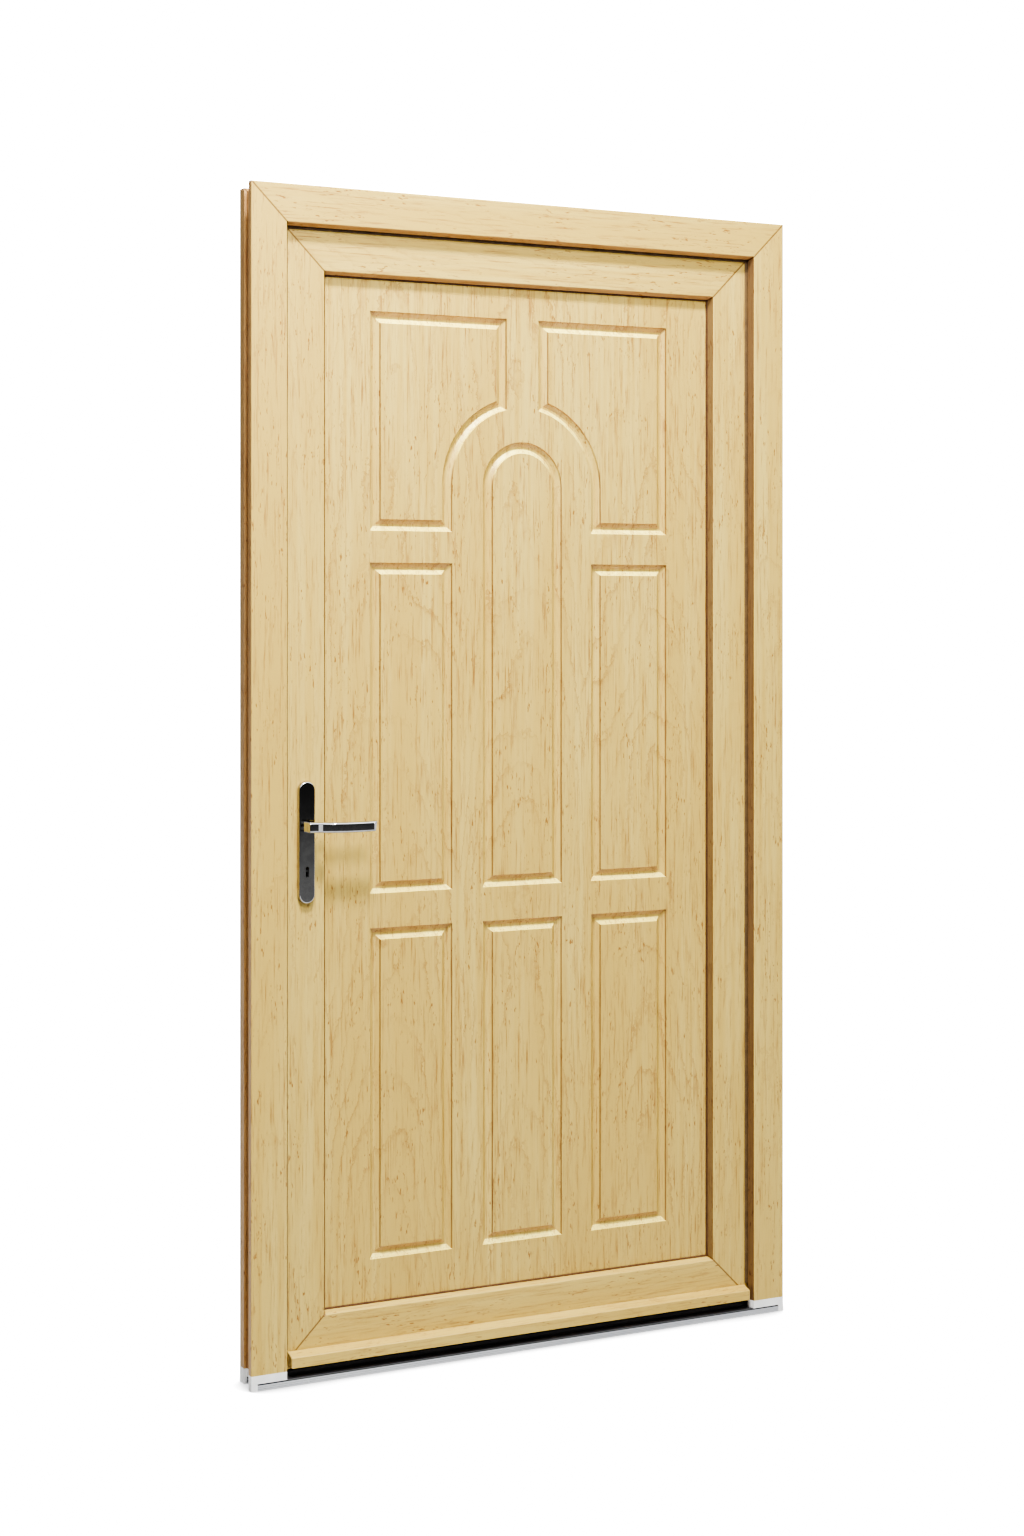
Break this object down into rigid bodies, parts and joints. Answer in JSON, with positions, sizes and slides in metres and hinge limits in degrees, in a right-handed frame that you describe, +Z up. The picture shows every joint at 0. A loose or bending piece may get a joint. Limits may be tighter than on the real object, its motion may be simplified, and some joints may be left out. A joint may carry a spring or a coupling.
{
  "type": "panelled front door with frame",
  "caption": "Foiled plastic front door leaf with a carved arched panel, hung in its frame on an aluminium threshold, with lever handles and a cylinder lock.",
  "frame": {"origin": "middle of the threshold's underside, at half the frame's depth", "axes": "+Z up, +X right as seen from outside, +Y into the house, so the outer face looks to -Y"},
  "size_m": [1.1, 0.164, 2.1],
  "materials": {
    "foiled_profile": "pale maple woodgrain foil with a light emboss",
    "white_plastic": "moulded white plastic",
    "black_plastic": "extruded black plastic",
    "seal_rubber": "black gasket rubber",
    "zinc_steel": "zinc plated steel",
    "mill_aluminium": "anodised extrusion with fine lines",
    "dark_chrome": "dark polished metal with bright edges",
    "bright_chrome": "polished chrome",
    "nickel_brass": "nickel plated brass",
    "hinge_paint": "powder coated to match the foil"
  },
  "bodies": {
    "frame": {"frame_jamb_left": "foiled_profile", "frame_jamb_right": "foiled_profile", "frame_head": "foiled_profile", "frame_steel_left": "zinc_steel", "frame_steel_right": "zinc_steel", "frame_steel_head": "zinc_steel", "frame_gasket": "seal_rubber", "threshold_base": "mill_aluminium", "threshold_cover": "black_plastic", "threshold_end_block_left": "white_plastic", "threshold_end_block_right": "white_plastic", "threshold_screws": "zinc_steel", "lock_keep": "zinc_steel", "keep_screws": "zinc_steel", "hinge_frame_part_lower": "hinge_paint", "hinge_frame_part_middle": "hinge_paint", "hinge_frame_part_upper": "hinge_paint", "hinge_pins": "zinc_steel", "hinge_frame_screws": "zinc_steel"},
    "leaf": {"leaf_stile_lock": "foiled_profile", "leaf_stile_hinge": "foiled_profile", "leaf_rail_top": "foiled_profile", "leaf_rail_bottom": "foiled_profile", "leaf_steel_lock": "zinc_steel", "leaf_steel_hinge": "zinc_steel", "leaf_steel_top": "zinc_steel", "leaf_steel_bottom": "zinc_steel", "infill_panel": "foiled_profile", "panel_outer_gasket": "seal_rubber", "panel_inner_gasket": "seal_rubber", "glazing_bead_left": "foiled_profile", "glazing_bead_right": "foiled_profile", "glazing_bead_top": "foiled_profile", "glazing_bead_bottom": "foiled_profile", "setting_blocks": "black_plastic", "leaf_gasket": "seal_rubber", "leaf_bottom_seal": "seal_rubber", "weather_bar": "foiled_profile", "weather_bar_end_caps": "foiled_profile", "lock_case": "zinc_steel", "lock_faceplate": "zinc_steel", "faceplate_screws": "zinc_steel", "cylinder_screw": "zinc_steel", "cylinder_body": "nickel_brass", "outside_plate": "dark_chrome", "inside_plate": "dark_chrome", "plate_screws": "bright_chrome", "hinge_leaf_part_lower": "hinge_paint", "hinge_leaf_part_middle": "hinge_paint", "hinge_leaf_part_upper": "hinge_paint", "hinge_leaf_screws": "zinc_steel"},
    "lever": {"lever_outside": "bright_chrome", "lever_inside": "bright_chrome", "spindle": "zinc_steel", "spindle_follower": "zinc_steel"},
    "latch": {"latch_bolt": "zinc_steel"},
    "bolt": {"deadbolt": "zinc_steel"},
    "key_plug": {"cylinder_plug": "nickel_brass"},
    "catch": {"day_catch": "zinc_steel"}
  },
  "joints": [
    {"name": "leaf_swing", "type": "hinge", "parent": "frame", "child": "leaf", "pos_m": [0.516, 0.065, 0], "axis": [0, 0, -1], "range_deg": [0, 100]},
    {"name": "lever_turn", "type": "hinge", "parent": "leaf", "child": "lever", "pos_m": [-0.44, 0, 0.9755], "axis": [0, 1, 0], "range_deg": [0, 40], "stiffness_Nm_per_rad": 1.5, "springref_deg": -40.11},
    {"name": "latch_slide", "type": "slide", "parent": "leaf", "child": "latch", "axis": [1, 0, 0], "range_m": [0, 0.009]},
    {"name": "key_turn", "type": "hinge", "parent": "leaf", "child": "key_plug", "pos_m": [-0.44, 0, 0.8905], "axis": [0, -1, 0], "range_deg": [0, 720]},
    {"name": "deadbolt_slide", "type": "slide", "parent": "leaf", "child": "bolt", "axis": [-1, 0, 0], "range_m": [0, 0.02]},
    {"name": "day_catch_slide", "type": "slide", "parent": "frame", "child": "catch", "axis": [0, 0, 1], "range_m": [0, 0.028]}
  ],
  "couplings": [
    {"joint": "latch_slide", "follows": "lever_turn", "m_per_rad": 0.01289},
    {"joint": "key_turn", "follows": "deadbolt_slide", "rad_per_m": 628.32}
  ]
}
